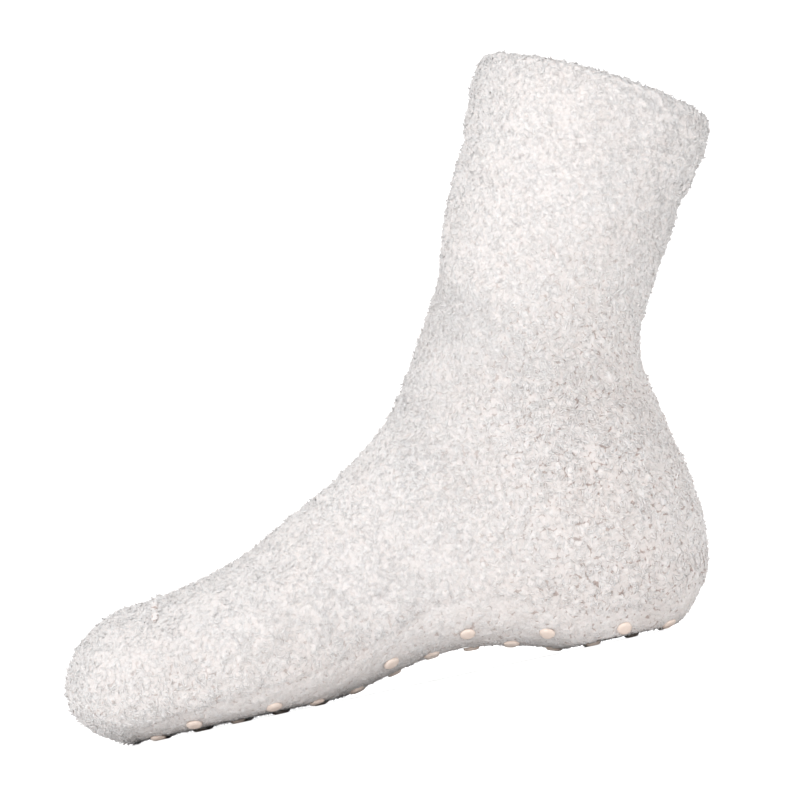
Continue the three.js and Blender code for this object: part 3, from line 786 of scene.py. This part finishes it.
def sampled(grid, row, column):
    # The grid at a row number and a share round, straight between its four neighbours
    i = np.clip(row.astype(int), 0, grid.shape[0] - 2)
    c = (column % 1) * grid.shape[1]
    j = c.astype(int) % grid.shape[1]
    k = (j + 1) % grid.shape[1]
    u, v = row - i, c - np.floor(c)
    if grid.ndim == 3:
        u, v = u[:, None], v[:, None]
    return mix(mix(grid[i, j], grid[i, k], v), mix(grid[i + 1, j], grid[i + 1, k], v), u)


def scatter(areaEach, rng, lastRow):
    # Places spread evenly over the coat: each band between two rows takes places by its area, evenly
    # apart with a share of chance in each.
    down = np.linalg.norm(np.diff(bare, axis=0), axis=-1)
    across = np.linalg.norm(np.roll(bare, -1, axis=1) - bare, axis=-1)[:-1]
    area = (down * across).sum(axis=1)[:lastRow]
    counts = np.floor(area / areaEach + rng.random(len(area))).astype(int)
    band = np.repeat(np.arange(len(area)), counts)
    number = np.arange(counts.sum()) - np.repeat(np.cumsum(counts) - counts, counts)
    column = (number + rng.random(number.size)) / np.repeat(counts, counts)
    column += np.repeat(rng.random(len(counts)), counts)
    return band + rng.random(number.size), column % 1


def strandPoints(row, column, rng, look):
    # Each strand follows an arc in the plane of the knit, of heading a + c t, lifted by
    # rise * cos(pi t); a free one climbs from end to end instead. Three points make each ring, and
    # each end closes in a point.
    n = len(row)
    press = sampled(pressedAll[..., None], row, column)[:, 0]
    place, out = sampled(lumpy, row, column), unit(sampled(lumpyOutward, row, column))
    way = sampled(tuftWay, row, column)
    swirl = unit(np.cross(out, way))
    anySide = unit(np.cross(out, unit(rng.normal(size=(n, 3)))))
    curled = (rng.random(n) < look["curledShare"])[:, None]
    first = unit(np.where(curled, swirl + anySide * 0.55, anySide))
    second = np.cross(out, first)
    size = mix(1, look["pressedSize"], press)
    length = rng.uniform(*look["length"], n) * size
    thick = rng.uniform(*look["thickness"], n) * size
    # The share about the heel and low down: more relief for the strand, and more painted shade in its
    # colour
    reliefShadeHere = roughness(place)
    rise = rng.uniform(*look["rise"], n) * mix(1, look["pressedRise"], press) * mix(0.6, 1.2, reliefShadeHere)
    rise *= 1 + 0.6 * np.exp(-(((row - rowsOutside) / 6) ** 2))  # longer round the rim
    curl = rng.uniform(*look["curl"], n) * np.where(rng.random(n) < 0.5, -1, 1)
    free = (rng.random(n) < look["freeShare"] * (1 - press)).astype(float)
    t = np.linspace(-0.5, 0.5, look["rings"] + 2)
    heading = curl[:, None] * t
    u = length[:, None] * np.sin(heading) / curl[:, None]
    v = length[:, None] * (1 - np.cos(heading)) / curl[:, None]
    v -= v.mean(axis=1, keepdims=True)
    arch = np.cos(math.pi * t)[None] * rise[:, None] - look["bedded"]
    stand = rng.uniform(*look["stand"], n) * mix(1, look["pressedRise"], press)
    climbing = (t + 0.5)[None] ** 1.3 * stand[:, None] - look["bedded"] - 0.02
    h = mix(arch, climbing, free[:, None]) + rng.normal(size=(n, len(t))) * look["unevenness"]
    h = h + overSeam(row, column)[:, None]
    middle = (place[:, None] + first[:, None] * u[..., None] + second[:, None] * v[..., None]
              + out[:, None] * h[..., None])
    tangent = unit(np.gradient(middle, axis=1))
    sideways = unit(np.cross(out[:, None], tangent))
    upward = np.cross(tangent, sideways)
    turn = np.array([math.pi / 2, math.pi * 7 / 6, math.pi * 11 / 6])[None] + rng.uniform(-0.5, 0.5, (n, 1))
    across = (np.cos(turn)[:, None, :, None] * sideways[:, 1:-1, None]
              + np.sin(turn)[:, None, :, None] * upward[:, 1:-1, None])
    rings = middle[:, 1:-1, None] + across * thick[:, None, None, None]
    points = np.concatenate([middle[:, :1], rings.reshape(n, -1, 3), middle[:, -1:]], axis=1)
    points[..., 2] = np.maximum(points[..., 2], 0.02)
    lifted = ((points - place[:, None]) * out[:, None]).sum(axis=-1)
    onTuft = sampled(tuft[..., None], row, column)
    # Lower on a strand and off the tufts the pile value falls, and the colour darkens toward the root
    # colour: painted shade
    pile = np.clip(0.3 + 0.45 * lifted + 0.35 * onTuft, 0, 1)
    # Light scatters from fibre to fibre, so a strand is shaded partly by the way the knit faces:
    # normal = the strand's own, mixed with the knit's by the softness
    own = np.concatenate([-tangent[:, :1], across.reshape(n, -1, 3), tangent[:, -1:]], axis=1)
    soft = mix(*look["softness"], reliefShadeHere)[:, None, None]
    normals = unit(mix(own, out[:, None], soft))
    return points, {"pile": pile.ravel(), "shadeShare": np.repeat(reliefShadeHere, points.shape[1])}, normals


def strandFaces(n, rings):
    # The same small tube for every strand: a fan at each end and two triangles for each side
    sides = np.arange(3)
    following = (sides + 1) % 3
    faces = [np.stack([np.zeros(3, int), 1 + following, 1 + sides], 1)]
    for k in range(rings - 1):
        a, b = 1 + 3 * k + sides, 1 + 3 * k + following
        faces += [np.stack([a, b, b + 3], 1), np.stack([a, b + 3, a + 3], 1)]
    last = 1 + 3 * (rings - 1)
    faces.append(np.stack([np.full(3, last + 3), last + sides, last + following], 1))
    pattern = np.concatenate(faces)
    corners = 2 + 3 * rings
    return (pattern[None] + np.arange(n)[:, None, None] * corners).reshape(-1, 3), pattern


def strandUv(n, pattern, rings):
    # Every strand has a cell of its own on the map: across it goes round, up it goes along
    perRow = math.ceil(math.sqrt(n))
    corner = pattern.ravel()
    ringOf = np.where(corner == 0, 0, np.where(corner == 1 + 3 * rings, rings + 1, (corner + 2) // 3))
    sideOf = ((corner - 1) % 3).reshape(-1, 3)
    isPole = ((corner == 0) | (corner == 1 + 3 * rings)).reshape(-1, 3)
    # the last side runs from 2 to 3, so a face that holds sides 2 and 0 takes 3 for 0
    hasTwo = ((sideOf == 2) & ~isPole).any(axis=1)
    hasZero = ((sideOf == 0) & ~isPole).any(axis=1)
    across = np.where((hasTwo & hasZero)[:, None] & (sideOf == 0), 3, sideOf).astype(float)
    low = np.where(isPole, 9, across).min(axis=1)[:, None]
    across = np.where(isPole, low + 0.5, across)
    cellX, cellY = np.arange(n) % perRow, np.arange(n) // perRow
    u = (cellX[:, None] + 0.1 + 0.8 * across.ravel()[None] / 3) / perRow
    v = (cellY[:, None] + 0.1 + 0.8 * ringOf[None] / (rings + 1)) / perRow
    return np.stack([u.ravel(), v.ravel()], axis=1)


rng = np.random.default_rng(pileSet["seed"])
hemRows = 10
row, column = scatter(pileSet["areaEach"], rng, rowsRim + hemRows)
onTuft = sampled(tuft[..., None], row, column)[:, 0]
keep = rng.random(len(row)) > pileSet["pitThinning"] * (1 - smooth(0.05, 0.5, onTuft))
row, column = row[keep], column[keep]
places = sampled(lumpy, row, column)
toDot = np.sqrt(((places[:, None] - dotTips[None]) ** 2).sum(axis=-1)).min(axis=1)
keep = toDot > dotShape["radius"] + dotShape["clearance"]
row, column = row[keep], column[keep]
alongOf = np.interp(row, np.arange(rowsOutside), alongRows)
pressOf = sampled(pressedAll[..., None], row, column)[:, 0]

toesAt, instepAt, heelAt = sectionAt[[4, 8, 13]]
regions = {
    "cuffPile": alongOf > cuffFoot,
    "legPile": (alongOf <= cuffFoot) & (alongOf > ankleAt),
    "anklePile": (alongOf <= ankleAt) & (alongOf > heelAt),
    "heelPile": (alongOf <= heelAt) & (alongOf > instepAt),
    "instepPile": (alongOf <= instepAt) & (alongOf > toesAt),
    "toePile": alongOf <= toesAt,
}
regions = {name: mask & (pressOf < 0.5) for name, mask in regions.items()}
regions["solePile"] = pressOf >= 0.5
total = 0
for name, mask in regions.items():
    points, values, normals = strandPoints(row[mask], column[mask], rng, pileSet)
    faces, pattern = strandFaces(len(points), pileSet["rings"])
    uv = strandUv(len(points), pattern, pileSet["rings"])
    makePiece(name, points.reshape(-1, 3), faces, [pileYarn], values, uv,
              normals=normals.reshape(-1, 3))
    total += len(faces)
print("pile,", total, "triangles")

# Fine fibres that stand out of the pile
fuzzSet = {
    "areaEach": 4.6,
    "length": (0.9, 2.6),
    "thickness": 0.085,
    "seed": 31,
}


def fuzzPoints(row, column, rng):
    # Thin three-sided spikes: tip = start + lean * length, where lean is the knit's outward way
    # mixed with any other
    n = len(row)
    place, out = sampled(lumpy, row, column), unit(sampled(lumpyOutward, row, column))
    anyWay = rng.normal(size=(n, 3))
    lean = unit(out * 1.1 + unit(anyWay) * 0.9)
    press = sampled(pressedAll[..., None], row, column)[:, 0]
    length = rng.uniform(*fuzzSet["length"], n) * mix(1, 0.5, press)
    start = place + out * 0.35
    side = unit(np.cross(lean, rng.normal(size=(n, 3))))
    front = np.cross(lean, side)
    turn = np.arange(3) * 2 * math.pi / 3
    across = np.cos(turn)[:, None] * side[:, None] + np.sin(turn)[:, None] * front[:, None]
    base = start[:, None] + across * fuzzSet["thickness"]
    tip = start + lean * length[:, None] + rng.normal(size=(n, 3)) * 0.2
    points = np.concatenate([base, tip[:, None]], axis=1)
    points[..., 2] = np.maximum(points[..., 2], 0.02)
    return points


rng = np.random.default_rng(fuzzSet["seed"])
row, column = scatter(fuzzSet["areaEach"], rng, rowsRim + 4)
points = fuzzPoints(row, column, rng)
pattern = np.array([[0, 1, 3], [1, 2, 3], [2, 0, 3], [2, 1, 0]])
faces = (pattern[None] + np.arange(len(points))[:, None, None] * 4).reshape(-1, 3)
# Darker at the base than at the tip: painted shade in the pile
fuzzPileShade = np.tile([0.7, 0.7, 0.7, 1.0], len(points))
makePiece("fineFuzz", points.reshape(-1, 3), faces, [pileYarn], {"pile": fuzzPileShade})


def seamBead():
    # A bead along the knit: half an ellipse over it, flat below, swelling at each stitch
    share = np.linspace(0, 1, seamShape["steps"])
    middleColumn = ((share - 0.5) * seamShape["reach"]) % 1
    turn = np.arange(seamShape["sides"]) / seamShape["sides"] * 2 * math.pi
    rows = np.full(len(share), seamRow)
    centre, out = sampled(bare, rows, middleColumn), unit(sampled(bareOutward, rows, middleColumn))
    lengthwise = unit(np.gradient(centre, axis=0))
    across = unit(np.cross(lengthwise, out))
    distance = np.concatenate([[0], np.cumsum(np.linalg.norm(np.diff(centre, axis=0), axis=1))])
    taper = np.sqrt(np.clip(np.minimum(share, 1 - share) / 0.05, 0.02, 1))
    swell = (1 + 0.22 * np.cos(2 * math.pi * distance / seamShape["stitch"])) * taper
    width = seamShape["width"] / 2 * swell
    height = np.where(np.sin(turn) > 0, seamShape["rise"], 0.5)[None] * np.sin(turn)[None] * swell[:, None]
    slant = 0.35 * np.sin(2 * math.pi * distance / seamShape["stitch"])[:, None]
    aside = np.cos(turn)[None] * width[:, None] + slant * np.sin(turn)
    return centre[:, None] + across[:, None] * aside[..., None] + out[:, None] * (height + 0.1)[..., None]


bead = seamBead()
ring = np.arange(seamShape["sides"])
beadCount = bead.shape[0] * bead.shape[1]
beadFaces = np.concatenate([gridFaces(*bead.shape[:2]), capFaces(beadCount, ring, True),
                            capFaces(beadCount + 1, beadCount - seamShape["sides"] + ring, False)])
beadEnds = np.stack([bead[0].mean(axis=0), bead[-1].mean(axis=0)])
beadPoints = np.concatenate([bead.reshape(-1, 3), beadEnds])
# Darker on the bead's underside, and root-like with the full share: painted shade under the pile
ringPileShade = 0.22 + 0.2 * np.sin(ring / len(ring) * 2 * math.pi)
seamPileShade = np.concatenate([np.tile(ringPileShade, bead.shape[0]), [0.5, 0.5]])
seamValues = {"pile": seamPileShade, "shadeShare": np.ones(len(seamPileShade))}
seam = makePiece("toeSeam", beadPoints, beadFaces, [pileYarn], seamValues)
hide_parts("toe_seam")

# Floor, light and camera
room = {
    "floorSize": 6.0,
    "white": (0.93, 0.93, 0.93, 1),
    "worldStrength": 0.63,
}


def makeFloor():
    # A flat floor that rises behind in a quarter circle to a wall: height = r - sqrt(r^2 - d^2)
    reach, radius, steps = room["floorSize"] / 2, 1.2, 24
    turn = np.linspace(0, math.pi / 2, steps)
    y = np.concatenate([[-reach, reach - radius], reach - radius + radius * np.sin(turn[1:]), [reach]])
    z = np.concatenate([[0, 0], radius * (1 - np.cos(turn[1:])), [reach]])
    x = np.array([-reach, reach])
    points = np.stack([np.repeat(x, len(y)), np.tile(y, 2), np.tile(z, 2)], 1)
    i = np.arange(len(y) - 1)
    faces = np.stack([i, i + len(y), i + len(y) + 1, i + 1], 1)
    mesh = bpy.data.meshes.new("floor")
    mesh.from_pydata(points.tolist(), [], faces.tolist())
    mesh.polygons.foreach_set("use_smooth", np.ones(len(faces), bool))
    material, tree, shader = startMaterial("paleFloor", {"Roughness": 0.9, "Specular IOR Level": 0.1})
    shader.inputs["Base Color"].default_value = room["white"]
    mesh.materials.append(material)
    floor = bpy.data.objects.new("floor", mesh)
    bpy.context.scene.collection.objects.link(floor)


def makeLight(name, place, aim, size, power):
    data = bpy.data.lights.new(name, "AREA")
    data.shape, data.size, data.size_y, data.energy = "RECTANGLE", size[0], size[1], power
    lamp = bpy.data.objects.new(name, data)
    bpy.context.scene.collection.objects.link(lamp)
    lamp.location = place
    lamp.rotation_euler = (Vector(aim) - Vector(place)).to_track_quat("-Z", "Y").to_euler()


makeFloor()
middle = (-0.07, 0, 0.1)
makeLight("softKey", (-1.4, -2.0, 1.1), middle, (3.2, 2.0), 35)
makeLight("softTop", (-0.4, 0.0, 2.1), middle, (2.6, 2.6), 5)
makeLight("lowFill", (0.35, -1.9, 0.25), middle, (2.0, 0.4), 11)
makeLight("farFill", (0.9, 1.7, 1.2), middle, (1.6, 1.2), 9)
makeLight("backdropLight", (0, 1.5, 2.4), (0, 3, 0.9), (4, 0.8), 70)

world = bpy.context.scene.world or bpy.data.worlds.new("studio")
bpy.context.scene.world = world
world.use_nodes = True
world.node_tree.nodes["Background"].inputs["Color"].default_value = (1, 1, 1, 1)
world.node_tree.nodes["Background"].inputs["Strength"].default_value = room["worldStrength"]

cameraSet = {
    "place": (-0.077, -1.1, 0.001),
    "aim": (-0.077, 0, 0.095),
    "roll": 12.3,
    "metresAcross": 0.3003,
    "aimPixel": (376, 433),
}
data = bpy.data.cameras.new("camera")
camera = bpy.data.objects.new("camera", data)
bpy.context.scene.collection.objects.link(camera)
lookWay = Vector(cameraSet["aim"]) - Vector(cameraSet["place"])
camera.location = cameraSet["place"]
camera.rotation_mode = "QUATERNION"
rollTurn = Quaternion((0, 0, 1), -math.radians(cameraSet["roll"]))
camera.rotation_quaternion = lookWay.to_track_quat("-Z", "Y") @ rollTurn
data.sensor_width = 36
data.lens = 36 * lookWay.length / cameraSet["metresAcross"]
data.shift_x = (400 - cameraSet["aimPixel"][0]) / 800
data.shift_y = (cameraSet["aimPixel"][1] - 400) / 800
data.clip_start, data.clip_end = 0.0005, 30
bpy.context.scene.camera = camera
bpy.context.scene.view_settings.view_transform = "Standard"
print("floor, light and camera set")
